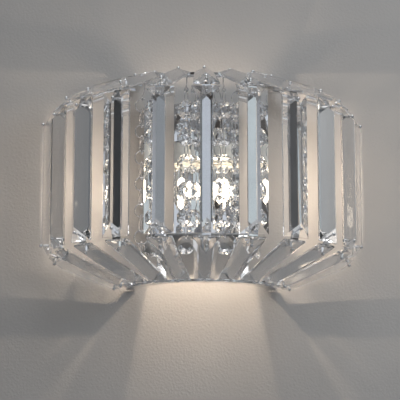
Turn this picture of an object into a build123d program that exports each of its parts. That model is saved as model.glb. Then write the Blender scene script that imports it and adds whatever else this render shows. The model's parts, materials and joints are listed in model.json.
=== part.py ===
from build123d import *
import os
from math import cos, radians, sin

# Crystal wall sconce, in millimetres. The origin is the middle of the wall bracket, on the wall.
# X runs along the wall, -Y points into the room and +Z is up.

# drum of crystals
column_count = 11            # crystal columns round the half drum
column_step = 16.4           # degrees from one column to the next
drum_drop = 17.0             # the drum's middle hangs this far below the wall mount
drum_radius = 145.4          # flat backs of the upright crystals, from the drum's axis
shoulder_height = 67.0       # where the ribs bend, above and below the drum's middle

# crystals: bars with a flat back, a ridge in front and a hip at each end
upright_length = 131.0
upright_width = 27.0
slope_length = 74.5
slope_wide = 23.6            # width at the outer end of a sloping crystal
slope_narrow = 18.2          # width at its inner end
girdle = 1.6                 # thickness along a crystal's long edges
ridge_rise = 8.0             # ridge above the girdle, on a bar as wide as an upright
hip_length = 12.0            # the ridge ends this far before a bar's ends
slope_hip = 18.0             # the same at the outer end of a sloping crystal
pin_inset = 6.8              # pin holes from a bar's ends
pin_hole_radius = 1.3
seat_gap = 0.3               # crystal back to rib

# ribs, rings and arms of the frame
rib_width = 8.0
rib_thickness = 1.2
rib_tab = 7.0                # flat end of a rib on its ring
ring_inner = 61.5
ring_outer = 72.5
ring_thickness = 2.0
ring_height = 97.0           # middle of each ring plate, from the drum's middle
wall_gap = 1.0               # ring ends to the wall
slope_start_gap = 1.5        # ring edge to the start of a rib's slope
crystal_end_gap = 1.8        # start of a rib's slope to a sloping crystal
arm_offset = 38.5            # arms left and right of the middle
arm_width = 8.0
arm_thickness = 1.5
arm_bend = 2.0
arm_foot = 14.0
arm_pad = 7.0
arm_reach = 51.0             # front end of the arms, from the wall

# pins that hold the crystals
pin_radius = 0.6
pin_head_radius = 1.7
pin_head_length = 1.5
pin_head_gap = 0.2

# backplate and wall bracket
plate_width = 108.0
plate_height = 128.0
plate_depth = 22.0
plate_wall = 1.2
plate_edge = 1.0             # bevel round the front
bracket_width = 26.0
bracket_thickness = 1.5
bracket_gap = 0.4            # bracket tabs to the inside of the backplate
bracket_tab = 17.0
fixing_spacing = 80.0        # wall screw holes, centre to centre
fixing_hole_radius = 2.4
cable_hole_radius = 7.0
grommet_bore = 4.5
grommet_flange = 2.0
grommet_flange_thickness = 1.4
grommet_gap = 0.1

# thumb screws that hold the backplate to the bracket
thumb_screw_depth = 11.0     # from the wall
thumb_shank_radius = 2.0
thumb_hole_clearance = 0.15
thumb_bite = 5.0             # shank past the bracket tab
thumb_head_radius = 4.0
thumb_head_length = 6.0
thumb_head_gap = 0.3
thumb_flutes = 10
thumb_flute_radius = 0.6

# lamps, lampholders and their carrier
lamp_offset = 20.0
lamp_depth = 38.0            # from the wall
carrier_height = 20.0        # underside of the carrier above the wall mount
carrier_thickness = 1.5
carrier_width = 56.0
carrier_reach = 46.0
carrier_corner = 9.0
carrier_flange = 12.0
holder_radius = 8.5
holder_height = 20.0
holder_collar = 7.3
holder_collar_height = 6.0
socket_length = 13.6
socket_width = 5.6
socket_depth = 6.5
contact_radius = 0.9
contact_depth = 9.0
socket_clearance = 0.4
lamp_pin_spacing = 9.0
lamp_pin_radius = 0.6
lamp_pin_length = 8.0
pinch_length = 9.0
bulb_radius = 6.5
bulb_length = 33.0
bulb_neck = 3.3
bulb_shoulder = 4.0
bulb_tip = 1.4
lead_radius = 1.1
lead_height = 9.0            # leads above the carrier
lead_bend = 4.5
lead_tail = 10.0             # leads inside the backplate
lead_clearance = 0.4

# bead strings
string_angles = [-68, -48, -15, 18, 31, 56]
string_turns = [-22, 35, 0, -8, 90, 20]
beads_per_string = 6
bead_width = 17.0
bead_table = 9.0
bead_thickness = 6.0
bead_girdle = 1.8
bead_hole_inset = 2.2
bead_hole_radius = 1.3
link_radius = 6.5            # middle of the wire of a link ring
link_wire = 1.0
link_sides = 8
hook_hole_radius = 1.5
hook_rim = 1.45              # ring metal between a hook hole and the ring's inner edge
hook_bow = 2.7               # outside of the hook's bow, from the middle of the rim
hook_wire = 1.1
hook_drop = 12.8             # hinge to the hook's eye
hook_shoulder = 6.0
eye_radius = 1.75

# screws and terminal block
screw_radius = 1.5
screw_head_radius = 2.8
screw_head_height = 1.8
screw_bite = 4.0
screw_clearance = 0.1
screw_inset = 7.0
carrier_screw_offset = 8.0
holder_screw_offset = 5.0
terminal_width = 24.0
terminal_height = 18.0
terminal_depth = 13.0
terminal_drop = 21.0
terminal_ways = 3
terminal_well_radius = 2.2
terminal_well_depth = 4.0

os.makedirs("parts", exist_ok=True)


def outward(angle):
    """Level direction from the drum's axis through a column."""
    return Vector(sin(radians(angle)), -cos(radians(angle)), 0)


def sideways(angle):
    """Level direction along the drum's curve at a column."""
    return Vector(cos(radians(angle)), sin(radians(angle)), 0)


def facing(angle, radius, height, lift):
    """Plane at a column that faces outward and is lifted to look up or down."""
    up = Vector(0, 0, 1)
    away = outward(angle) * cos(radians(lift)) + up * sin(radians(lift))
    centre = outward(angle) * radius + up * (height - drum_drop)
    return Plane(origin=centre, x_dir=sideways(angle), z_dir=away)


def radial(angle):
    """Upright plane through the drum's axis: x outward, y up."""
    return Plane(origin=(0, 0, -drum_drop), x_dir=outward(angle), z_dir=-sideways(angle))


def through(first, second, third):
    """Plane through three points."""
    a, b, c = Vector(*first), Vector(*second), Vector(*third)
    return Plane(origin=a, x_dir=b - a, z_dir=(b - a).cross(c - a))


def crystal(length, low_end, high_end):
    """Faceted bar, back on XY: a ridge in front, a hip and a pin hole at each end (width, hip)."""
    low_width, low_hip = low_end
    high_width, high_hip = high_end
    end = length / 2
    low, high = low_width / 2, high_width / 2
    low_ridge = girdle + ridge_rise * low_width / upright_width
    high_ridge = girdle + ridge_rise * high_width / upright_width
    thickest = max(low_ridge, high_ridge)
    with BuildPart() as bar:
        with BuildSketch():
            Polygon((-low, -end), (low, -end), (high, end), (-high, end), align=None)
        extrude(amount=thickest)
        right_side = through((low, -end, girdle), (high, end, girdle), (0, -end, low_ridge))
        left_side = through((-high, end, girdle), (-low, -end, girdle), (0, end, high_ridge))
        low_front = through((-low, -end, girdle), (low, -end, girdle), (0, low_hip - end, low_ridge))
        high_front = through((high, end, girdle), (-high, end, girdle), (0, end - high_hip, high_ridge))
        for facet in (right_side, left_side, low_front, high_front):
            split(bisect_by=facet, keep=Keep.BOTTOM)
        with BuildSketch():
            with Locations((0, pin_inset - end), (0, end - pin_inset)):
                RegularPolygon(pin_hole_radius, 4)
        extrude(amount=thickest, mode=Mode.SUBTRACT)
    return bar.part


def pin(width, hip):
    """Pin from the rib's face through a crystal's back, which lies on XY, with its head on the hip."""
    head_seat = girdle + ridge_rise * width / upright_width / hip * (pin_inset + pin_head_radius)
    with BuildPart() as stud:
        with BuildSketch(Plane.XY.offset(-seat_gap)):
            RegularPolygon(pin_radius, 4)
        extrude(amount=seat_gap + head_seat + pin_head_gap)
        with BuildSketch(Plane.XY.offset(head_seat + pin_head_gap)):
            RegularPolygon(pin_head_radius, 5)
        extrude(amount=pin_head_length)
    return stud.part


# slope of the upper and lower tiers, from the shoulder to the ring
rib_face = drum_radius - seat_gap
slope_top = ring_height - ring_thickness / 2
slope_start = ring_outer + slope_start_gap
slope_run = Vector(rib_face - slope_start, slope_top - shoulder_height)
slope_angle = slope_run.get_angle(Vector(1, 0))
tier_lift = 90 - slope_angle
slope_reach = crystal_end_gap + slope_length / 2
slope_radius = slope_start + slope_reach * cos(radians(slope_angle)) + seat_gap * sin(radians(slope_angle))
slope_height = slope_top - slope_reach * sin(radians(slope_angle)) + seat_gap * cos(radians(slope_angle))

columns = [(i - (column_count - 1) / 2) * column_step for i in range(column_count)]
upright_end = (upright_width, hip_length)
outer_end = (slope_wide, slope_hip)
inner_end = (slope_narrow, hip_length)
tiers = {
    "upper": (slope_radius, slope_height, tier_lift, slope_length, outer_end, inner_end),
    "vertical": (drum_radius, 0, 0, upright_length, upright_end, upright_end),
    "lower": (slope_radius, -slope_height, -tier_lift, slope_length, inner_end, outer_end),
}

# crystals, one node each, and their pins, one node for each tier
for tier, (radius, height, lift, length, low_end, high_end) in tiers.items():
    bar = crystal(length, low_end, high_end)
    low_pin, high_pin = pin(*low_end), pin(*high_end)
    pin_place = Vector(0, length / 2 - pin_inset)
    with BuildPart() as pins:
        for number, angle in enumerate(columns, start=1):
            place = facing(angle, radius, height, lift).location
            placed_bar = bar.moved(place)
            placed_bar.label = f"{tier}_prism_{number:02d}"
            export_step(placed_bar, f"parts/{tier}_prism_{number:02d}.step")
            add(low_pin.moved(place * Location(-pin_place)))
            add(high_pin.moved(place * Location(pin_place)))
    pins.part.label = f"{tier}_pins"
    export_step(pins.part, f"parts/{tier}_pins.step")

# ribs: one bent strip behind each column, tabbed onto both rings
with BuildPart() as ribs:
    for angle in columns:
        with BuildSketch(radial(angle)):
            with BuildLine():
                Polyline(
                    (ring_outer - rib_tab, slope_top),
                    (slope_start, slope_top),
                    (rib_face, shoulder_height),
                    (rib_face, -shoulder_height),
                    (slope_start, -slope_top),
                    (ring_outer - rib_tab, -slope_top),
                )
                offset(amount=rib_thickness, side=Side.RIGHT, kind=Kind.INTERSECTION)
            make_face()
        extrude(amount=rib_width / 2, both=True)
ribs.part.label = "frame_ribs"
export_step(ribs.part, "parts/frame_ribs.step")

# half rings above and below
hook_hole = ring_inner + hook_rim + hook_hole_radius
for name, height in (("top_ring", ring_height), ("bottom_ring", -ring_height)):
    with BuildPart() as ring:
        with BuildSketch(Plane.XY.offset(height - drum_drop)):
            Circle(ring_outer)
            Circle(ring_inner, mode=Mode.SUBTRACT)
            with Locations((0, -wall_gap)):
                Rectangle(2 * ring_outer, ring_outer, align=(Align.CENTER, Align.MAX), mode=Mode.INTERSECT)
            if height > 0:
                with Locations(*[outward(angle) * hook_hole for angle in string_angles]):
                    RegularPolygon(hook_hole_radius, 8, mode=Mode.SUBTRACT)
        extrude(amount=ring_thickness / 2, both=True)
    ring.part.label = name
    export_step(ring.part, f"parts/{name}.step")

# backplate: a polished sheet-metal box, open at the wall
plate_top = plate_height / 2
lead_level = carrier_height + lead_height
carrier_screw_level = carrier_height - screw_inset
carrier_screw_places = [(side * carrier_screw_offset, carrier_screw_level) for side in (-1, 1)]
screw_hole_radius = screw_radius + screw_clearance
with BuildPart() as backplate:
    with BuildSketch(Plane.XZ):
        Rectangle(plate_width, plate_height)
    extrude(amount=plate_depth)
    chamfer(backplate.edges().group_by(Axis.Y)[0], length=plate_edge)
    offset(amount=-plate_wall, openings=backplate.faces().sort_by(Axis.Y)[-1])
    with BuildSketch(Plane.XY):
        with Locations((0, -thumb_screw_depth)):
            Circle(thumb_shank_radius + thumb_hole_clearance)
        with Locations((-arm_offset, -plate_depth + arm_foot / 2), (arm_offset, -plate_depth + arm_foot / 2)):
            RegularPolygon(screw_hole_radius, 8)
    extrude(amount=plate_height, both=True, mode=Mode.SUBTRACT)
    with BuildSketch(Plane.XZ.offset(plate_depth - plate_wall)):
        with Locations((-lamp_offset, lead_level), (lamp_offset, lead_level)):
            RegularPolygon(lead_radius + lead_clearance, 8)
        with Locations(*carrier_screw_places):
            RegularPolygon(screw_hole_radius, 8)
    extrude(amount=plate_depth, both=True, mode=Mode.SUBTRACT)
backplate.part.label = "backplate"
export_step(backplate.part, "parts/backplate.step")

# wall bracket: a strip with wall screw holes, a cable hole and two turned tabs
tab_top = plate_top - plate_wall - bracket_gap
with BuildPart() as bracket:
    with BuildSketch(Plane.XZ):
        Rectangle(bracket_width, 2 * tab_top)
        Circle(cable_hole_radius, mode=Mode.SUBTRACT)
        with Locations((0, -fixing_spacing / 2), (0, fixing_spacing / 2)):
            Circle(fixing_hole_radius, mode=Mode.SUBTRACT)
    extrude(amount=bracket_thickness)
    for side in (-1, 1):
        with BuildSketch(Plane.XY.offset(side * (tab_top - bracket_thickness / 2))):
            Rectangle(bracket_width, bracket_tab, align=(Align.CENTER, Align.MAX))
            with Locations((0, -thumb_screw_depth)):
                Circle(thumb_shank_radius, mode=Mode.SUBTRACT)
        extrude(amount=bracket_thickness / 2, both=True)
bracket.part.label = "wall_bracket"
export_step(bracket.part, "parts/wall_bracket.step")

# grommet in the cable hole, flanged on the room side
with BuildPart() as grommet:
    with BuildSketch(Plane.XZ):
        Circle(cable_hole_radius - grommet_gap)
        Circle(grommet_bore, mode=Mode.SUBTRACT)
    extrude(amount=bracket_thickness)
    with BuildSketch(Plane.XZ.offset(bracket_thickness)):
        Circle(cable_hole_radius + grommet_flange)
        Circle(grommet_bore, mode=Mode.SUBTRACT)
    extrude(amount=grommet_flange_thickness)
grommet.part.label = "cable_grommet"
export_step(grommet.part, "parts/cable_grommet.step")

# knurled thumb screws above and below
for name, side in (("thumb_screw_top", 1), ("thumb_screw_bottom", -1)):
    head_start = plate_top + thumb_head_gap
    head_frame = Plane(origin=(0, -thumb_screw_depth, side * head_start), z_dir=(0, 0, side))
    with BuildPart() as thumb_screw:
        with BuildSketch(head_frame):
            Circle(thumb_head_radius)
            with PolarLocations(thumb_head_radius, thumb_flutes):
                RegularPolygon(thumb_flute_radius, 4, mode=Mode.SUBTRACT)
        extrude(amount=thumb_head_length)
        with BuildSketch(head_frame):
            Circle(thumb_shank_radius - thumb_hole_clearance / 2)
        extrude(amount=-(thumb_head_gap + plate_wall + bracket_gap + bracket_thickness + thumb_bite))
    thumb_screw.part.label = name
    export_step(thumb_screw.part, f"parts/{name}.step")

# arms from the backplate to the rings, two above and two below
arm_root = plate_depth - arm_foot
with BuildPart() as arms:
    for side, outer_side in ((1, Side.LEFT), (-1, Side.RIGHT)):
        foot = side * plate_top
        pad = side * (slope_top - arm_thickness) - drum_drop
        for x in (-arm_offset, arm_offset):
            with BuildSketch(Plane(origin=(x, 0, 0), x_dir=(0, -1, 0), z_dir=(-1, 0, 0))):
                with BuildLine():
                    FilletPolyline(
                        (arm_root, foot),
                        (plate_depth, foot),
                        (arm_reach - arm_pad, pad),
                        (arm_reach, pad),
                        radius=arm_bend,
                    )
                    offset(amount=arm_thickness, side=outer_side)
                make_face()
            extrude(amount=arm_width / 2, both=True)
            with BuildSketch(Plane.XY.offset(foot)):
                with Locations((x, -plate_depth + arm_foot / 2)):
                    RegularPolygon(screw_hole_radius, 8)
            extrude(amount=2 * arm_thickness, both=True, mode=Mode.SUBTRACT)
arms.part.label = "frame_arms"
export_step(arms.part, "parts/frame_arms.step")

# screws that hold the arms to the backplate
with BuildPart() as arm_screws:
    for side in (-1, 1):
        head_seat = side * (plate_top + arm_thickness)
        for x in (-arm_offset, arm_offset):
            seat = Plane(origin=(x, -plate_depth + arm_foot / 2, head_seat), z_dir=(0, 0, side))
            with BuildSketch(seat):
                RegularPolygon(screw_head_radius, 6)
            extrude(amount=screw_head_height)
            with BuildSketch(seat):
                RegularPolygon(screw_radius, 8)
            extrude(amount=-(arm_thickness + plate_wall + screw_bite))
arm_screws.part.label = "arm_screws"
export_step(arm_screws.part, "parts/arm_screws.step")

# lamp carrier: a plate with rounded corners and a flange down the backplate
holder_screw_depth = lamp_depth - holder_screw_offset
with BuildPart() as carrier:
    with BuildSketch(Plane.XY.offset(carrier_height)):
        with Locations((0, -plate_depth)):
            Rectangle(carrier_width, carrier_reach - plate_depth, align=(Align.CENTER, Align.MAX))
        fillet(vertices().group_by(Axis.Y)[0], carrier_corner)
        with Locations((-lamp_offset, -lamp_depth), (lamp_offset, -lamp_depth)):
            RegularPolygon(lead_radius + lead_clearance, 8, mode=Mode.SUBTRACT)
        with Locations((-lamp_offset, -holder_screw_depth), (lamp_offset, -holder_screw_depth)):
            RegularPolygon(screw_hole_radius, 8, mode=Mode.SUBTRACT)
    extrude(amount=carrier_thickness)
    with BuildSketch(Plane.XZ.offset(plate_depth)):
        with Locations((0, carrier_height)):
            Rectangle(carrier_width / 2, carrier_flange, align=(Align.CENTER, Align.MAX))
        with Locations(*carrier_screw_places):
            RegularPolygon(screw_hole_radius, 8, mode=Mode.SUBTRACT)
    extrude(amount=carrier_thickness)
carrier.part.label = "lamp_carrier"
export_step(carrier.part, "parts/lamp_carrier.step")

# screws of the carrier and of the lampholders
with BuildPart() as carrier_screws:
    for side in (-1, 1):
        flange_seat = Plane(
            origin=(side * carrier_screw_offset, -plate_depth - carrier_thickness, carrier_screw_level),
            z_dir=(0, -1, 0),
        )
        holder_seat = Plane((side * lamp_offset, -holder_screw_depth, carrier_height + carrier_thickness))
        for seat, wall in ((flange_seat, plate_wall), (holder_seat, 0)):
            with BuildSketch(seat):
                RegularPolygon(screw_head_radius, 6)
            extrude(amount=screw_head_height)
            with BuildSketch(seat):
                RegularPolygon(screw_radius, 8)
            extrude(amount=-(carrier_thickness + wall + screw_bite))
carrier_screws.part.label = "carrier_screws"
export_step(carrier_screws.part, "parts/carrier_screws.step")

# lampholders, lamps and leads, left and right
socket_mouth = carrier_height - holder_height
pinch_top = socket_mouth + socket_depth - socket_clearance
bulb_top = pinch_top - pinch_length
for side, x in (("left", -lamp_offset), ("right", lamp_offset)):
    with BuildPart() as holder:
        with BuildSketch(Plane.XY.offset(carrier_height)):
            with Locations((x, -lamp_depth)):
                Circle(holder_collar)
        extrude(amount=-holder_collar_height)
        with BuildSketch(Plane.XY.offset(carrier_height - holder_collar_height)):
            with Locations((x, -lamp_depth)):
                Circle(holder_radius)
        extrude(amount=holder_collar_height - holder_height)
        with BuildSketch(Plane.XY.offset(socket_mouth)):
            with Locations((x, -lamp_depth)):
                Rectangle(socket_length, socket_width)
        extrude(amount=socket_depth, mode=Mode.SUBTRACT)
        with BuildSketch(Plane.XY.offset(socket_mouth + socket_depth)):
            with Locations((x - lamp_pin_spacing / 2, -lamp_depth), (x + lamp_pin_spacing / 2, -lamp_depth)):
                RegularPolygon(contact_radius, 6)
        extrude(amount=contact_depth, mode=Mode.SUBTRACT)
        with BuildSketch(Plane.XY.offset(carrier_height)):
            with Locations((x, -holder_screw_depth)):
                RegularPolygon(screw_hole_radius, 8)
        extrude(amount=-screw_bite - screw_clearance, mode=Mode.SUBTRACT)
    holder.part.label = f"lampholder_{side}"
    export_step(holder.part, f"parts/lampholder_{side}.step")

    with BuildPart() as lamp:
        with BuildSketch(Plane.XZ.offset(lamp_depth)):
            Polygon(
                (x, bulb_top),
                (x + bulb_neck, bulb_top),
                (x + bulb_radius, bulb_top - bulb_shoulder),
                (x + bulb_radius, bulb_top - bulb_length + bulb_shoulder),
                (x + bulb_tip, bulb_top - bulb_length),
                (x, bulb_top - bulb_length - bulb_tip),
                align=None,
            )
        revolve(axis=Axis((x, -lamp_depth, 0), (0, 0, 1)))
        with BuildSketch(Plane.XY.offset(pinch_top)):
            with Locations((x, -lamp_depth)):
                Rectangle(socket_length - 2 * socket_clearance, socket_width - 2 * socket_clearance)
        extrude(amount=-pinch_length - bulb_shoulder / 2)
        with BuildSketch(Plane.XY.offset(pinch_top)):
            with Locations((x - lamp_pin_spacing / 2, -lamp_depth), (x + lamp_pin_spacing / 2, -lamp_depth)):
                RegularPolygon(lamp_pin_radius, 6)
        extrude(amount=lamp_pin_length)
    lamp.part.label = f"lamp_{side}"
    export_step(lamp.part, f"parts/lamp_{side}.step")

with BuildPart() as leads:
    for x in (-lamp_offset, lamp_offset):
        with BuildLine() as route:
            FilletPolyline(
                (x, lead_tail - plate_depth, lead_level),
                (x, -lamp_depth, lead_level),
                (x, -lamp_depth, carrier_height),
                radius=lead_bend,
            )
        with BuildSketch(Plane(origin=route.line @ 0, z_dir=route.line % 0)):
            RegularPolygon(lead_radius, 6)
        sweep(path=route.line)
leads.part.label = "lamp_leads"
export_step(leads.part, "parts/lamp_leads.step")

# terminal block on the bracket, under the cable hole
with BuildPart() as terminal:
    with BuildSketch(Plane.XZ.offset(bracket_thickness)):
        with Locations((0, -terminal_drop)):
            Rectangle(terminal_width, terminal_height)
    extrude(amount=terminal_depth)
    with BuildSketch(Plane.XZ.offset(bracket_thickness + terminal_depth)):
        with Locations((0, -terminal_drop)):
            with GridLocations(terminal_width / terminal_ways, terminal_height / 2, terminal_ways, 2):
                RegularPolygon(terminal_well_radius, 6)
    extrude(amount=-terminal_well_depth, mode=Mode.SUBTRACT)
terminal.part.label = "terminal_block"
export_step(terminal.part, "parts/terminal_block.step")

# one octagon bead, on both sides of XY: its side outline seen from four turns, and two holes
bead_hole = bead_width / 2 - bead_hole_inset
with BuildPart() as octagon:
    for turn in (0, 45, 90, 135):
        with BuildSketch(Plane.XZ.rotated((0, 0, turn))):
            Polygon(
                (-bead_width / 2, -bead_girdle / 2),
                (-bead_table / 2, -bead_thickness / 2),
                (bead_table / 2, -bead_thickness / 2),
                (bead_width / 2, -bead_girdle / 2),
                (bead_width / 2, bead_girdle / 2),
                (bead_table / 2, bead_thickness / 2),
                (-bead_table / 2, bead_thickness / 2),
                (-bead_width / 2, bead_girdle / 2),
            )
        extrude(amount=bead_width, both=True, mode=Mode.INTERSECT if turn else Mode.ADD)
    with BuildSketch():
        with Locations((0, -bead_hole), (0, bead_hole)):
            RegularPolygon(bead_hole_radius, 4)
    extrude(amount=bead_thickness, both=True, mode=Mode.SUBTRACT)

# one link ring, standing across the beads it joins
with BuildPart() as link:
    with BuildSketch(Plane.YZ):
        RegularPolygon(link_radius, link_sides, major_radius=False, rotation=180 / link_sides)
        offset(amount=link_wire / 2, kind=Kind.INTERSECTION)
        offset(amount=-link_wire, kind=Kind.INTERSECTION, mode=Mode.SUBTRACT)
    extrude(amount=link_wire / 2, both=True)

# bead strings: a hook over the ring's rim, then link ring and octagon bead in turn
hook_pivot = ring_inner + hook_rim / 2
string_step = 2 * (bead_hole + link_radius)
up = Vector(0, 0, 1)
for number, (angle, turn) in enumerate(zip(string_angles, string_turns), start=1):
    pivot = outward(angle) * hook_pivot + up * (ring_height - drum_drop)
    with BuildPart() as beads:
        with BuildSketch(Plane(origin=pivot, x_dir=outward(angle), z_dir=-sideways(angle))):
            with BuildLine():
                Polyline(
                    (hook_bow, -ring_thickness / 2),
                    (hook_bow, hook_bow / 2),
                    (hook_bow / 2, hook_bow),
                    (-hook_bow / 2, hook_bow),
                    (-hook_bow, hook_bow / 2),
                    (-hook_bow, -hook_shoulder),
                    (-hook_wire / 2, -hook_shoulder - hook_bow),
                    (-hook_wire / 2, eye_radius - hook_drop),
                )
                offset(amount=hook_wire, side=Side.LEFT, kind=Kind.INTERSECTION)
            make_face()
        extrude(amount=hook_wire / 2, both=True)
        face = Plane(origin=pivot - up * hook_drop, x_dir=sideways(angle + turn), z_dir=outward(angle + turn))
        with BuildSketch(face):
            RegularPolygon(eye_radius + hook_wire / 2, 8)
            RegularPolygon(eye_radius - hook_wire / 2, 8, mode=Mode.SUBTRACT)
        extrude(amount=hook_wire / 2, both=True)
        for bead in range(beads_per_string):
            link_drop = link_radius + bead * string_step
            add(link.part.moved(face.location * Location((0, -link_drop, 0))))
            add(octagon.part.moved(face.location * Location((0, -link_drop - link_radius - bead_hole, 0))))
    beads.part.label = f"bead_string_{number}"
    export_step(beads.part, f"parts/bead_string_{number}.step")
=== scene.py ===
import json
from math import cos, pi, radians, sin

import bmesh
import bpy
from mathutils import Matrix, Vector


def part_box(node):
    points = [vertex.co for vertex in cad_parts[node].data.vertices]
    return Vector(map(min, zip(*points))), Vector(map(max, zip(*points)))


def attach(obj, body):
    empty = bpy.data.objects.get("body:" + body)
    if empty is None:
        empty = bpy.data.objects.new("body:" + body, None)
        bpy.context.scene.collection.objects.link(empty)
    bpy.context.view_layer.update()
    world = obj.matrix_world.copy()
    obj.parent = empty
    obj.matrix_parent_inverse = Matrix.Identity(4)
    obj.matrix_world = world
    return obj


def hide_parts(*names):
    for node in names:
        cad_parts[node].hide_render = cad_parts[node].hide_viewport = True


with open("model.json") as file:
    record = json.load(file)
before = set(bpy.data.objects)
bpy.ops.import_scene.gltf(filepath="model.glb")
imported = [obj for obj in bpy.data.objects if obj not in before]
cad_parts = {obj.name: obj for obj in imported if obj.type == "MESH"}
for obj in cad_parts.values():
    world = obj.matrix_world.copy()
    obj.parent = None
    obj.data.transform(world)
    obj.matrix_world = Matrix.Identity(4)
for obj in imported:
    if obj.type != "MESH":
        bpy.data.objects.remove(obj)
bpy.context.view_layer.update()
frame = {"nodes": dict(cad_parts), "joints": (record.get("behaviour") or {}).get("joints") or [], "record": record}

# Crystal wall sconce, dressed for its picture.
# Lengths are in metres and +Z is up. The wall is the plane y = 0 and the room is at -Y.

mm = 0.001
nodes = frame["nodes"]
joints = {joint["name"]: joint for joint in frame["joints"]}
fixed_body = "fitting"
scene = bpy.context.scene
up = Vector((0, 0, 1))

# ---------------------------------------------------------------- sizes

# camera, as fitted to the corners of the bars in the photograph
camera_distance = 1.3837
camera_turn = radians(1.633)     # it stands this far to the left
camera_tilt = radians(10.407)    # and looks up by this much
camera_target = Vector((-0.00326, -0.06, -0.03794))
camera_near = 0.05
sensor_width = 36.0
frame_pixels = 400
focal_pixels = 1496.07

# rounded edges of the carried-over nodes, by material slot
edge_radii = {
    "crystal": 0.32 * mm,
    "frame_chrome": 0.22 * mm,
    "screw_chrome": 0.18 * mm,
    "plate_mirror": 0.25 * mm,
    "bracket_zinc": 0.2 * mm,
    "grommet_rubber": 0.3 * mm,
    "holder_ceramic": 0.5 * mm,
    "terminal_plastic": 0.4 * mm,
}
sharp_angle = radians(14)        # edges that bend more than this are rounded

# ball-headed pins
ball_radius = 1.7 * mm
ball_height = 0.98 * ball_radius
ball_turns = range(0, 151, 15)   # degrees from the ball's top to its wire
ball_neck = 1.9 * ball_radius    # from the head's face in to where the wire begins
pin_wire_radius = 0.6 * mm
pin_sides = 14
weld_distance = 0.001 * mm       # corners of a pin's mesh that are nearer than this are joined

# octagon beads, with widths across the flats
bead_width = 17.0 * mm
bead_girdle = 1.4 * mm           # thickness at the rim
bead_star = 11.5 * mm            # width of the octagon between the two rows of facets
bead_star_height = 2.1 * mm      # and how far it is from the bead's middle plane
bead_table = 5.5 * mm
bead_thickness = 6.6 * mm
bead_edge = 0.12 * mm
bead_hole_radius = 1.1 * mm
bead_hole_sides = 10
bead_hole = bead_width / 2 - 2.2 * mm        # from the bead's middle to each hole

# wire links between the beads, and the hook that holds the string
beads_per_string = 6
string_turns = [-22, 35, 0, -8, 90, 20]      # degrees that the beads turn about their string
wire_sides = 8
link_radius = 6.5 * mm
link_wire_radius = 0.48 * mm
link_steps = 28
eye_radius = 1.75 * mm
eye_steps = 16
hook_wire_radius = 0.55 * mm
hook_bow = 2.15 * mm             # radius of the bow that goes over the ring's rim
hook_tip = 1.0 * mm              # length of the short outer leg
hook_shoulder = 6.0 * mm         # length of the inner leg, down to its bend
hook_bend = [(1.0, 0.0), (0.55, 0.7), (0.0, 1.3)]     # off the middle and down, in bow radii
hook_steps = 10
hook_drop = 12.8 * mm            # from the bow's middle to the eye's middle

# capsule lamps: a glass body, its pinch with two pins, a coil and the glow round it
capsule_gap = 2.6 * mm           # between the glass body and the lampholder
capsule_wall = 0.7 * mm
capsule_sides = 28
shoulder_share = 0.6             # height of the body's top, as a share of its radius
neck_radius = 1.4 * mm
dome_turns = range(15, 91, 15)   # degrees from the middle of the body's rounded top and bottom
tip_outline = [(0.0, 0.0), (0.5, 0.1), (0.9, 0.8), (1.3, 1.4)]     # radius and height in mm
pinch_half_width = 6.2 * mm
pinch_half_depth = 2.2 * mm
pinch_overlap = 1.2 * mm         # how far it reaches down into the glass body
pinch_top = 8.2 * mm             # below the ends of the pins
pinch_rounding = 0.8 * mm
contact_offset = 4.5 * mm        # from the lamp's middle to each pin
contact_radius = 0.6 * mm
contact_root = 1.0 * mm          # length of each pin inside the pinch
contact_point = 0.3 * mm
contact_sides = 10
coil_start = 6 * mm              # above the lamp's lowest point
coil_stop = 22 * mm
coil_radius = 1.1 * mm
coil_wire_radius = 0.28 * mm
coil_turns = 9
coil_steps = 10 * coil_turns
glow_radius = 1.9 * mm
glow_end_radius = 1.5 * mm
glow_tip = 2 * mm                # how far it goes on beyond both ends of the coil
glow_sides = 16

# wall and floor
wall_reach = 2.4
wall_gap = 0.4 * mm              # between the part's back and the sheet of the wall
opening_inset = 3 * mm           # the wall's opening is inside the backplate's edge by this
floor_level = -1.4
floor_reach = 4.8


# ---------------------------------------------------------------- shader nodes

def add_node(tree, kind, *values, **named_values):
    """New node, with values for its first and its named inputs. A node's output is linked."""
    made = tree.nodes.new(kind)
    pairs = list(zip(made.inputs, values))
    for name, value in named_values.items():
        pairs.append((made.inputs[name.replace("_", " ")], value))
    for target, value in pairs:
        if isinstance(value, bpy.types.NodeSocket):
            tree.links.new(value, target)
        else:
            target.default_value = value
    return made


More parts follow.
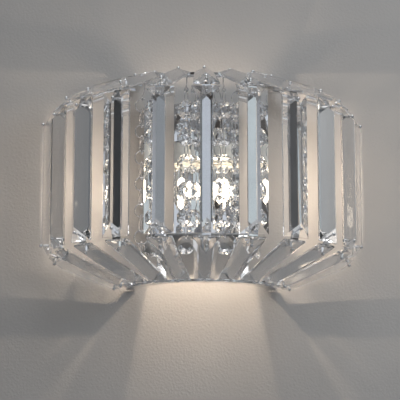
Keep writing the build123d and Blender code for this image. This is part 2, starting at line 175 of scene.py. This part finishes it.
class Shader:
    """A node material with one Principled shader, and a few short ways to add to it."""

    def __init__(self, name, color, roughness, **values):
        self.material = bpy.data.materials.new(name)
        self.material.use_nodes = True
        self.tree = self.material.node_tree
        self.shader = self.tree.nodes["Principled BSDF"]
        self.shader.inputs["Base Color"].default_value = (*color, 1.0)
        self.shader.inputs["Roughness"].default_value = roughness
        for socket, value in values.items():
            self.shader.inputs[socket.replace("_", " ")].default_value = value

    def noise(self, scale, detail=3.0, stretch=(1, 1, 1)):
        """Noise in the row frame, where scale is in features to the metre."""
        spot = add_node(self.tree, "ShaderNodeTexCoord").outputs["Object"]
        mapping = add_node(self.tree, "ShaderNodeMapping", Vector=spot, Scale=stretch)
        spot = mapping.outputs["Vector"]
        texture = add_node(self.tree, "ShaderNodeTexNoise", Vector=spot, Scale=scale, Detail=detail)
        return texture.outputs["Fac"]

    def vary(self, socket, source, low, high, start=0.35, stop=0.65):
        """Spreads source over two values or two colours, from start to stop, for a socket."""
        ramp = add_node(self.tree, "ShaderNodeValToRGB", Fac=source)
        stops = zip(ramp.color_ramp.elements, (start, stop), (low, high))
        for element, position, value in stops:
            color = value if isinstance(value, tuple) else (value, value, value)
            element.position = position
            element.color = (*color, 1.0)
        self.tree.links.new(ramp.outputs["Color"], self.shader.inputs[socket])

    def bump(self, source, depth):
        """Raises the surface by source, with depth in metres."""
        raised = add_node(self.tree, "ShaderNodeBump", Height=source, Distance=depth)
        self.tree.links.new(raised.outputs["Normal"], self.shader.inputs["Normal"])

    def let_through(self, factor, color):
        """Lets light pass straight through, tinted by color, where factor is 1."""
        surface = self.shader.outputs["BSDF"]
        clear = add_node(self.tree, "ShaderNodeBsdfTransparent", Color=(*color, 1.0))
        mix = add_node(self.tree, "ShaderNodeMixShader", factor, surface, clear.outputs["BSDF"])
        output = self.tree.nodes["Material Output"]
        self.tree.links.new(mix.outputs["Shader"], output.inputs["Surface"])

    def let_lamp_light_through(self, color):
        """Lamp light passes this glass without being bent, so that it reaches the wall."""
        ray = add_node(self.tree, "ShaderNodeLightPath")
        self.let_through(ray.outputs["Is Shadow Ray"], color)


# ---------------------------------------------------------------- materials

def crystal_shader(name, color, wave):
    """Cut lead crystal: clear, with faint waves left by polishing and hair-fine wear."""
    glass = Shader(name, color, 0.0, IOR=1.54, Transmission_Weight=1.0)
    wear = glass.noise(900, detail=2, stretch=(1, 1, 0.2))
    glass.vary("Roughness", wear, 0.0, 0.012, start=0.55, stop=0.8)
    glass.bump(glass.noise(60), wave)
    glass.let_lamp_light_through((0.93, 0.935, 0.94))
    return glass.material


def capsule_shader(name, color):
    """Drawn lamp glass: clear, with long waves and a little haze."""
    glass = Shader(name, color, 0.02, IOR=1.46, Transmission_Weight=1.0)
    glass.vary("Roughness", glass.noise(400), 0.0, 0.05)
    glass.bump(glass.noise(120), 0.03 * mm)
    glass.let_lamp_light_through((0.97, 0.96, 0.94))
    return glass.material


def metal_shader(name, color, low, high, grain=(1, 1, 1), scale=240, depth=0.004 * mm):
    """Plated or rolled metal whose roughness goes from low to high with handling and grain."""
    metal = Shader(name, color, low, Metallic=1.0)
    metal.vary("Roughness", metal.noise(scale, 5, grain), low, high)
    tint = tuple(0.93 * part for part in color)
    metal.vary("Base Color", metal.noise(35, 4), tint, color, start=0.3, stop=0.6)
    metal.bump(metal.noise(scale * 3, 2, grain), depth)
    return metal.material


def moulded_shader(name, color, roughness, scale, depth, sheen=0.0):
    """Moulded or fired surface with fine texture and a slight change of colour."""
    made = Shader(name, color, roughness, Sheen_Weight=sheen)
    shade = tuple(0.86 * part for part in color)
    made.vary("Base Color", made.noise(scale / 6, 4), shade, color)
    made.vary("Roughness", made.noise(scale / 3), roughness, roughness + 0.12)
    made.bump(made.noise(scale), depth)
    return made.material


def glow_shader(name, color, strength, low):
    """Hot wire or lit glass, brighter in places."""
    made = Shader(name, (0.9, 0.85, 0.75), 0.4, Emission_Strength=strength)
    dim = tuple(low * part for part in color)
    made.vary("Emission Color", made.noise(500, 2), dim, color, start=0.2, stop=0.7)
    made.let_lamp_light_through((1.0, 1.0, 1.0))
    return made.material


def plaster_shader(name, low, high):
    """Painted plaster. It is clear from behind, so that the part's back shows there."""
    made = Shader(name, (0.42, 0.418, 0.415), 0.85, Specular_IOR_Level=0.1)
    made.vary("Base Color", made.noise(5, 4), low, high, start=0.3, stop=0.7)
    made.bump(made.noise(420), 0.3 * mm)
    side = add_node(made.tree, "ShaderNodeNewGeometry")
    made.let_through(side.outputs["Backfacing"], (1.0, 1.0, 1.0))
    return made.material


materials = {
    "crystal": crystal_shader("cut_crystal", (0.985, 0.99, 0.995), wave=0.012 * mm),
    "bead_crystal": crystal_shader("bead_crystal", (0.99, 0.992, 0.995), wave=0.01 * mm),
    "frame_chrome": metal_shader(
        "frame_chrome", (0.78, 0.79, 0.81), low=0.05, high=0.12, grain=(1, 1, 0.15)
    ),
    "pin_chrome": metal_shader(
        "pin_chrome", (0.72, 0.73, 0.75), low=0.08, high=0.18, scale=600
    ),
    "screw_chrome": metal_shader(
        "screw_chrome", (0.76, 0.77, 0.79), low=0.1, high=0.22, scale=500
    ),
    "plate_mirror": metal_shader(
        "plate_mirror", (0.82, 0.83, 0.85), low=0.015, high=0.06,
        grain=(0.2, 1, 1), scale=180, depth=0.002 * mm,
    ),
    "bracket_zinc": metal_shader(
        "zinc_plate", (0.62, 0.63, 0.64), low=0.28, high=0.45,
        grain=(8, 1, 0.3), scale=160, depth=0.02 * mm,
    ),
    "grommet_rubber": moulded_shader(
        "grommet_rubber", (0.03, 0.03, 0.032), roughness=0.62, scale=2600, depth=0.02 * mm
    ),
    "holder_ceramic": moulded_shader(
        "steatite", (0.86, 0.85, 0.8), roughness=0.34, scale=1600, depth=0.015 * mm
    ),
    "lead_sleeve": moulded_shader(
        "silicone_sleeve", (0.8, 0.77, 0.7), roughness=0.5, scale=3000, depth=0.01 * mm, sheen=0.2
    ),
    "terminal_plastic": moulded_shader(
        "terminal_plastic", (0.84, 0.83, 0.78), roughness=0.42, scale=1400, depth=0.012 * mm
    ),
    "lamp_glass": capsule_shader("lamp_glass", (1.0, 0.99, 0.97)),
}
filament = glow_shader("filament", (1.0, 0.86, 0.66), strength=30.0, low=0.8)
glow = glow_shader("gas_glow", (1.0, 0.88, 0.72), strength=6.0, low=0.9)
plaster = plaster_shader("plaster", low=(0.4, 0.398, 0.395), high=(0.44, 0.438, 0.435))
floor_paint = moulded_shader(
    "floor_paint", (0.62, 0.61, 0.6), roughness=0.7, scale=300, depth=0.1 * mm
)


# ---------------------------------------------------------------- carried-over nodes

def round_edges(obj, radius, segments):
    """Rounds the sharp edges, so that they catch the light."""
    bevel = obj.modifiers.new("edges", "BEVEL")
    bevel.width = radius
    bevel.segments = segments
    bevel.limit_method = "ANGLE"
    bevel.angle_limit = sharp_angle
    bevel.harden_normals = True
    bevel.use_clamp_overlap = True


for entry in frame["record"]["subparts"]:
    obj = nodes[entry["node"]]
    slot = entry["material_slot"]
    for material_slot in obj.material_slots:
        material_slot.material = materials[slot]
    if slot in edge_radii:
        round_edges(obj, edge_radii[slot], 1 if slot == "crystal" else 2)


# ---------------------------------------------------------------- mesh helpers

def add_object(name, data):
    """New object in the scene."""
    obj = bpy.data.objects.new(name, data)
    scene.collection.objects.link(obj)
    return obj


def mesh_piece(name, bm, material, smooth=True):
    """Turns a bmesh in the row frame into an object."""
    bmesh.ops.recalc_face_normals(bm, faces=bm.faces)
    data = bpy.data.meshes.new(name)
    bm.to_mesh(data)
    bm.free()
    data.materials.append(material)
    for polygon in data.polygons:
        polygon.use_smooth = smooth
    return add_object(name, data)


def dress(obj, body, slot, *replaced):
    """Ties a new piece to its body and hides the nodes that it stands for. Its slot is not used."""
    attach(obj, body)
    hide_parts(*replaced)


def place(origin, x_axis, y_axis):
    """Matrix of a small frame at origin, whose z axis points out of the other two."""
    z_axis = x_axis.cross(y_axis)
    turned = Matrix((x_axis, y_axis, z_axis)).transposed()
    return Matrix.Translation(origin) @ turned.to_4x4()


def circle(steps):
    """Turns of a full circle in radians, one for each step."""
    return [2 * pi * step / steps for step in range(steps)]


def arc(centre, radius, start, stop, steps):
    """Points of a flat arc, in degrees."""
    turns = [radians(start + (stop - start) * step / steps) for step in range(steps + 1)]
    return [(centre[0] + radius * cos(a), centre[1] + radius * sin(a)) for a in turns]


def dome(middle, radius, height, turns):
    """Profile of a rounded end, at some degrees from its pole. Negative height turns it down."""
    return [(radius * sin(radians(a)), middle + height * cos(radians(a))) for a in turns]


def band(bm, here, there):
    """Closed band of faces between two rows of as many corners."""
    for index in range(len(here)):
        after = (index + 1) % len(here)
        bm.faces.new((here[index], here[after], there[after], there[index]))


def lathe(bm, profile, matrix, sides):
    """Turns (radius, height) pairs about the matrix's z axis. Radius 0 closes an end."""
    rows = []
    for radius, height in profile:
        turns = circle(sides) if radius else [0]
        spots = [Vector((radius * cos(a), radius * sin(a), height)) for a in turns]
        rows.append([bm.verts.new(matrix @ spot) for spot in spots])
    for below, above in zip(rows, rows[1:]):
        if len(below) == len(above):
            band(bm, below, above)
            continue
        for step in range(sides):
            after = (step + 1) % sides
            if len(below) == 1:
                bm.faces.new((below[0], above[after], above[step]))
            else:
                bm.faces.new((below[step], below[after], above[0]))


def ring(bm, matrix, radius, wire_radius, steps):
    """Wire ring in the matrix's xy plane."""
    across = Vector((0, 0, 1))
    rows = []
    for turn in circle(steps):
        out = Vector((cos(turn), sin(turn), 0))
        row = []
        for a in circle(wire_sides):
            spot = out * radius + (out * cos(a) + across * sin(a)) * wire_radius
            row.append(bm.verts.new(matrix @ spot))
        rows.append(row)
    for here, there in zip(rows, rows[1:] + rows[:1]):
        band(bm, here, there)


def wire(bm, matrix, points, wire_radius):
    """Round wire along flat points in the matrix's xy plane, with closed ends."""
    spots = [Vector(point) for point in points]
    rows = []
    for index, spot in enumerate(spots):
        before = spots[max(index - 1, 0)]
        after = spots[min(index + 1, len(spots) - 1)]
        along = (after - before).normalized()
        across = Vector((along.y, -along.x))
        row = []
        for a in circle(wire_sides):
            flat = spot + across * cos(a) * wire_radius
            row.append(bm.verts.new(matrix @ Vector((*flat, sin(a) * wire_radius))))
        rows.append(row)
    for here, there in zip(rows, rows[1:]):
        band(bm, here, there)
    bm.faces.new(rows[0])
    bm.faces.new(rows[-1][::-1])


# ---------------------------------------------------------------- ball-headed pins

def islands(obj):
    """Groups of linked faces of a node's mesh, as normal, area and middle of each face."""
    bm = bmesh.new()
    bm.from_mesh(obj.data)
    bmesh.ops.remove_doubles(bm, verts=bm.verts, dist=weld_distance)
    found = set()
    groups = []
    for first in bm.faces:
        if first in found:
            continue
        found.add(first)
        stack, group = [first], []
        while stack:
            face = stack.pop()
            group.append((face.normal.copy(), face.calc_area(), face.calc_center_median()))
            for edge in face.edges:
                for other in edge.link_faces:
                    if other not in found:
                        found.add(other)
                        stack.append(other)
        groups.append(group)
    bm.free()
    return groups


def head_of(group):
    """Middle and outward normal of a pin's head, which is the widest flat side of the pin."""
    sides = {}
    for normal, area, centre in group:
        key = tuple(round(part, 2) for part in normal)
        total, moment, unit = sides.get(key, (0.0, Vector((0, 0, 0)), normal))
        sides[key] = (total + area, moment + centre * area, unit)
    total, moment, unit = max(sides.values(), key=lambda side: side[0])
    return moment / total, unit


def depth_of(group, top, out):
    """How far the pin reaches in from its head."""
    return max((top - centre).dot(out) for normal, area, centre in group)


ball = dome(-ball_radius, ball_radius, ball_height, ball_turns)
for tier in ("upper_pins", "vertical_pins", "lower_pins"):
    bm = bmesh.new()
    for group in islands(nodes[tier]):
        top, out = head_of(group)
        side = out.orthogonal().normalized()
        reach = depth_of(group, top, out)
        shaft = [(pin_wire_radius, -ball_neck), (pin_wire_radius, -reach), (0, -reach)]
        lathe(bm, ball + shaft, place(top, side, out.cross(side)), pin_sides)
    piece = mesh_piece(tier + "_ball", bm, materials["pin_chrome"])
    dress(piece, fixed_body, "pin_chrome", tier)


# ---------------------------------------------------------------- bead strings

def octagon(bm, width, height, turn):
    """Corners of an octagon that is width across its flats, the first at turn degrees."""
    reach = width / 2 / cos(pi / 8)
    turns = [radians(turn + 45 * step) for step in range(8)]
    return [bm.verts.new(Vector((reach * cos(a), reach * sin(a), height))) for a in turns]


def cut_bead():
    """Octagon bead with two rows of facets on both sides and two holes, as a mesh to copy."""
    half_side = 22.5             # degrees from the middle of a side to its corner
    bm = bmesh.new()
    rims = [octagon(bm, bead_width, side * bead_girdle / 2, half_side) for side in (-1, 1)]
    band(bm, *rims)
    for side, rim in zip((-1, 1), rims):
        star = octagon(bm, bead_star, side * bead_star_height, 0)
        table = octagon(bm, bead_table, side * bead_thickness / 2, half_side)
        for step in range(8):
            after = (step + 1) % 8
            bm.faces.new((rim[step], rim[after], star[after]))
            bm.faces.new((rim[step], star[after], star[step]))
            bm.faces.new((star[step], star[after], table[step]))
            bm.faces.new((star[after], table[after], table[step]))
        bm.faces.new(table)
    bead = mesh_piece("bead", bm, materials["bead_crystal"], smooth=False)

    bm = bmesh.new()
    drill = [
        (0, -bead_thickness),
        (bead_hole_radius, -bead_thickness),
        (bead_hole_radius, bead_thickness),
        (0, bead_thickness),
    ]
    for level in (-bead_hole, bead_hole):
        lathe(bm, drill, Matrix.Translation((0, level, 0)), bead_hole_sides)
    drills = mesh_piece("drills", bm, materials["bead_crystal"])
    cut = bead.modifiers.new("holes", "BOOLEAN")
    cut.operation = "DIFFERENCE"
    cut.object = drills
    round_edges(bead, bead_edge, 1)
    final = bead.evaluated_get(bpy.context.evaluated_depsgraph_get())
    made = bpy.data.meshes.new_from_object(final)
    for extra in (bead, drills):
        bpy.data.objects.remove(extra)
    return made


bead_mesh = cut_bead()
string_step = 2 * (bead_hole + link_radius)
hook_points = (
    [(hook_bow, -hook_tip)]
    + arc((0, 0), hook_bow, 0, 180, hook_steps)
    + [(-hook_bow, -hook_shoulder / 2)]
    + [(-x * hook_bow, -hook_shoulder - z * hook_bow) for x, z in hook_bend]
    + [(0, eye_radius - hook_drop)]
)
for number, turn in enumerate(string_turns, start=1):
    body = f"bead_string_{number}"
    joint = joints[body + "_swing"]
    pivot = Vector(joint["pos_m"])
    along = -Vector(joint["axis"])
    outward = along.cross(up)
    wires, beads = bmesh.new(), bmesh.new()
    wire(wires, place(pivot, outward, up), hook_points, hook_wire_radius)
    turned = Matrix.Rotation(radians(turn), 3, "Z")
    side, out = turned @ along, turned @ outward
    eye = pivot - up * hook_drop
    ring(wires, place(eye, side, up), eye_radius, hook_wire_radius, eye_steps)
    for index in range(beads_per_string):
        link = eye - up * (link_radius + index * string_step)
        ring(wires, place(link, out, up), link_radius, link_wire_radius, link_steps)
        copy = bead_mesh.copy()
        copy.transform(place(link - up * (link_radius + bead_hole), side, up))
        beads.from_mesh(copy)
        bpy.data.meshes.remove(copy)
    wires_piece = mesh_piece(body + "_wires", wires, materials["pin_chrome"])
    dress(wires_piece, body, "pin_chrome", body)
    beads_piece = mesh_piece(body + "_beads", beads, materials["bead_crystal"], smooth=False)
    dress(beads_piece, body, "bead_crystal", body)


# ---------------------------------------------------------------- capsule lamps

def block(bm, low, high):
    """Box between two corners."""
    flat = [(low.x, low.y), (high.x, low.y), (high.x, high.y), (low.x, high.y)]
    lower = [bm.verts.new((x, y, low.z)) for x, y in flat]
    upper = [bm.verts.new((x, y, high.z)) for x, y in flat]
    bm.faces.new(lower[::-1])
    bm.faces.new(upper)
    band(bm, lower, upper)


def glass_body(body, low, middle, radius, neck):
    """Hollow capsule with a sealed tip below and a neck above."""
    upright = Matrix.Translation((middle.x, middle.y, 0))
    tip = [(r * mm, low.z + z * mm) for r, z in tip_outline]
    shoulder_height = shoulder_share * radius
    lower = dome(tip[-1][1] + radius, radius, -radius, dome_turns)
    upper = dome(neck - shoulder_height, radius, shoulder_height, reversed(dome_turns))
    outside = tip + lower + upper + [(neck_radius, neck), (0, neck)]
    inside = [(r - capsule_wall, z + capsule_wall) for r, z in lower]
    inside += [(r - capsule_wall, z - capsule_wall) for r, z in upper]
    inside = [(0, inside[0][1])] + inside + [(0, inside[-1][1])]
    bm = bmesh.new()
    lathe(bm, outside, upright, capsule_sides)
    lathe(bm, inside, upright, capsule_sides)
    piece = mesh_piece(body + "_capsule", bm, materials["lamp_glass"])
    dress(piece, body, "lamp_glass", body)


def pinch(body, middle, high, neck):
    """Flat pinched end of the glass with its two pins."""
    top, bottom = high.z - pinch_top, neck - pinch_overlap
    half_x, half_y = pinch_half_width, pinch_half_depth
    bm = bmesh.new()
    block(
        bm,
        Vector((middle.x - half_x, middle.y - half_y, bottom)),
        Vector((middle.x + half_x, middle.y + half_y, top)),
    )
    bmesh.ops.bevel(
        bm, geom=bm.edges[:], offset=pinch_rounding, segments=3, affect="EDGES", profile=0.5
    )
    contact = [
        (0, top - contact_root),
        (contact_radius, top - contact_root),
        (contact_radius, high.z - contact_point),
        (0, high.z),
    ]
    for offset in (-contact_offset, contact_offset):
        lathe(bm, contact, Matrix.Translation((middle.x + offset, middle.y, 0)), contact_sides)
    piece = mesh_piece(body + "_pinch", bm, materials["lamp_glass"])
    dress(piece, body, "lamp_glass", body)


def coil(body, middle, low, high):
    """Glowing wire wound about the lamp's axis, from low to high."""
    data = bpy.data.curves.new(body + "_coil", "CURVE")
    data.dimensions = "3D"
    data.bevel_depth = coil_wire_radius
    data.bevel_resolution = 2
    data.materials.append(filament)
    spline = data.splines.new("POLY")
    spline.points.add(coil_steps)
    for step, point in enumerate(spline.points):
        a = 2 * pi * coil_turns * step / coil_steps
        x, y = middle.x + coil_radius * cos(a), middle.y + coil_radius * sin(a)
        point.co = (x, y, low + (high - low) * step / coil_steps, 1.0)
    dress(add_object(body + "_filament", data), body, "lamp_glass", body)


def coil_glow(body, middle, low, high):
    """Bright gas round the coil."""
    outline = [
        (0, low - glow_tip),
        (glow_end_radius, low),
        (glow_radius, (low + high) / 2),
        (glow_end_radius, high),
        (0, high + glow_tip),
    ]
    bm = bmesh.new()
    lathe(bm, outline, Matrix.Translation((middle.x, middle.y, 0)), glow_sides)
    dress(mesh_piece(body + "_glow", bm, glow), body, "lamp_glass", body)


for side in ("left", "right"):
    body = f"lamp_{side}"
    low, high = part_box(body)
    middle = (low + high) / 2
    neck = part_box(f"lampholder_{side}")[0].z - capsule_gap
    glass_body(body, low, middle, (high.y - low.y) / 2, neck)
    pinch(body, middle, high, neck)
    coil(body, middle, low.z + coil_start, low.z + coil_stop)
    coil_glow(body, middle, low.z + coil_start, low.z + coil_stop)


# ---------------------------------------------------------------- wall and floor

def stage_sheet(name, corners, faces, material):
    """Flat sheet that isn't part of the object."""
    data = bpy.data.meshes.new(name)
    data.from_pydata(corners, [], faces)
    data.materials.append(material)
    obj = add_object(name, data)
    return obj


def rectangle(left, low, right, high):
    """Flat corners, counted round from the lower left."""
    return [(left, low), (right, low), (right, high), (left, high)]


# the wall is left open behind the backplate
box_low, box_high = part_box("backplate")
outline = rectangle(-wall_reach, floor_level, wall_reach, wall_reach) + rectangle(
    box_low.x + opening_inset,
    box_low.z + opening_inset,
    box_high.x - opening_inset,
    box_high.z - opening_inset,
)
wall = stage_sheet(
    "wall",
    [(x, wall_gap, z) for x, z in outline],
    [(step, (step + 1) % 4, (step + 1) % 4 + 4, step + 4) for step in range(4)],
    plaster,
)
outline = rectangle(-wall_reach, -floor_reach, wall_reach, wall_reach)
stage_sheet("floor", [(x, y, floor_level) for x, y in outline], [(0, 1, 2, 3)], floor_paint)


# ---------------------------------------------------------------- lights

def softbox(name, spot, size, power, color, mirrored=False):
    """Square area lamp that faces the part. It shows in metal and glass only if mirrored."""
    aim = Vector((0, -0.05, 0))
    light = bpy.data.lights.new(name, "AREA")
    light.size = size
    light.energy = power
    light.color = color
    obj = add_object(name, light)
    obj.location = spot
    obj.rotation_euler = (aim - Vector(spot)).to_track_quat("-Z", "Y").to_euler()
    obj.visible_glossy = obj.visible_transmission = mirrored


def glow_light(name, spot, size, power, receivers=None):
    """Warm point light that isn't seen itself. It may light only some objects."""
    light = bpy.data.lights.new(name, "POINT")
    light.shadow_soft_size = size
    light.energy = power
    light.color = (1.0, 0.79, 0.6)
    obj = add_object(name, light)
    obj.location = spot
    obj.visible_camera = obj.visible_glossy = obj.visible_transmission = False
    if receivers:
        obj.light_linking.receiver_collection = receivers


softbox("key", (1.3, -0.7, 0.45), size=0.7, power=11, color=(0.97, 0.985, 1.0))
softbox("fill", (-1.9, -1.6, -0.4), size=0.8, power=2, color=(0.95, 0.97, 1.0))
softbox("top", (0.1, -0.7, 1.5), size=0.5, power=5, color=(1.0, 1.0, 1.0), mirrored=True)

lamp_light_inset = 4 * mm        # from the lamp's front
bead_light_gap = 2 * mm          # in front of the lamp carrier
bead_light_rise = 10 * mm        # above it
bar_light_inset = 20 * mm        # inside the reach of the ribs
bar_light_turns = (-66, -30, 30, 66)         # degrees to the right of straight out of the wall

# the lamps' light on the wall, and a little of it on all that is near them
around = bpy.data.collections.new("around")
around.objects.link(wall)
for side in ("left", "right"):
    low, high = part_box(f"lamp_{side}")
    spot = ((low.x + high.x) / 2, low.y + lamp_light_inset, low.z + coil_start)
    glow_light(f"lamp_light_{side}", spot, size=1.5 * mm, power=0.62, receivers=around)
    glow_light(f"near_light_{side}", spot, size=5 * mm, power=0.03)

# what the beads and the bars scatter back to the wall
low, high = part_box("lamp_carrier")
spot = (0, low.y - bead_light_gap, high.z + bead_light_rise)
glow_light("bead_light", spot, size=8 * mm, power=0.24, receivers=around)
low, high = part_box("frame_ribs")
reach = high.x - bar_light_inset
for turn in bar_light_turns:
    a = radians(turn)
    spot = (reach * sin(a), -reach * cos(a), (low.z + high.z) / 2)
    glow_light(f"crystal_light_{turn}", spot, size=20 * mm, power=0.095, receivers=around)


# ---------------------------------------------------------------- room

# What metal and crystal reflect: upright areas of one colour, each from one turn to another,
# with soft edges between them. Turns are in degrees to the right of straight out of the wall.
room_areas = [
    (-180, -100, (0.2, 0.2, 0.2)),
    (-84, -58, (0.012, 0.011, 0.01)),
    (-46, -31, (0.3, 0.32, 0.34)),
    (-25, -12, (0.05, 0.043, 0.038)),
    (-3, 9, (0.65, 0.69, 0.75)),
    (14, 27, (0.2, 0.2, 0.2)),
    (31, 44, (0.68, 0.75, 0.77)),
    (56, 84, (0.055, 0.053, 0.05)),
    (100, 180, (0.3, 0.3, 0.3)),
]
ceiling_color = (1.0, 0.99, 0.98)
ceiling_low, ceiling_high = 0.42, 0.6        # sines of the tilts where it begins and is full
diffuse_color = (0.185, 0.19, 0.2)           # what lights matt surfaces
backdrop_color = (0.42, 0.42, 0.42)          # what the camera sees past the wall

world = bpy.data.worlds.new("room")
scene.world = world
world.use_nodes = True
tree = world.node_tree


def plain_light(color):
    """Even light from every side."""
    return add_node(tree, "ShaderNodeBackground", (*color, 1.0)).outputs["Background"]


def mix_light(factor, first, second):
    """The first light where factor is 0, and the second where it is 1."""
    return add_node(tree, "ShaderNodeMixShader", factor, first, second).outputs["Shader"]


# the turn of a direction, as a share of the full circle that begins straight into the wall
direction = add_node(tree, "ShaderNodeTexCoord").outputs["Generated"]
parts = add_node(tree, "ShaderNodeSeparateXYZ", direction).outputs
out_of_wall = add_node(tree, "ShaderNodeMath", parts["Y"], -1.0)
out_of_wall.operation = "MULTIPLY"
turn = add_node(tree, "ShaderNodeMath", parts["X"], out_of_wall.outputs["Value"])
turn.operation = "ARCTAN2"
share = add_node(
    tree, "ShaderNodeMapRange", turn.outputs["Value"], From_Min=-pi, From_Max=pi
)
bands = add_node(tree, "ShaderNodeValToRGB", share.outputs["Result"])
stops = bands.color_ramp.elements
edges = [(edge, color) for start, stop, color in room_areas for edge in (start, stop)]
for index, (edge, color) in enumerate(edges):
    position = 0.5 + edge / 360
    mark = stops.new(position) if index else stops[0]
    mark.position = position
    mark.color = (*color, 1.0)

walls = tree.nodes["Background"]
tree.links.new(bands.outputs["Color"], walls.inputs["Color"])
height = add_node(
    tree, "ShaderNodeMapRange", parts["Z"], From_Min=ceiling_low, From_Max=ceiling_high
)
room = mix_light(height.outputs["Result"], walls.outputs["Background"], plain_light(ceiling_color))
ray = add_node(tree, "ShaderNodeLightPath").outputs
soft = mix_light(ray["Is Diffuse Ray"], room, plain_light(diffuse_color))
seen = mix_light(ray["Is Camera Ray"], soft, plain_light(backdrop_color))
tree.links.new(seen, tree.nodes["World Output"].inputs["Surface"])


# ---------------------------------------------------------------- camera

camera = bpy.data.cameras.new("camera")
camera.sensor_width = sensor_width
camera.lens = focal_pixels / frame_pixels * sensor_width
camera.clip_start = camera_near
camera_object = add_object("camera", camera)
view_line = Vector(
    (sin(camera_turn) * cos(camera_tilt), cos(camera_turn) * cos(camera_tilt), sin(camera_tilt))
)
camera_object.location = camera_target - view_line * camera_distance
camera_object.rotation_euler = view_line.to_track_quat("-Z", "Y").to_euler()
bpy.context.scene.camera = camera_object
scene.view_settings.view_transform = "Standard"

# light crosses many facets of cut glass before it leaves
scene.cycles.max_bounces = 32
scene.cycles.glossy_bounces = 24
scene.cycles.transmission_bounces = 24
scene.cycles.transparent_max_bounces = 24
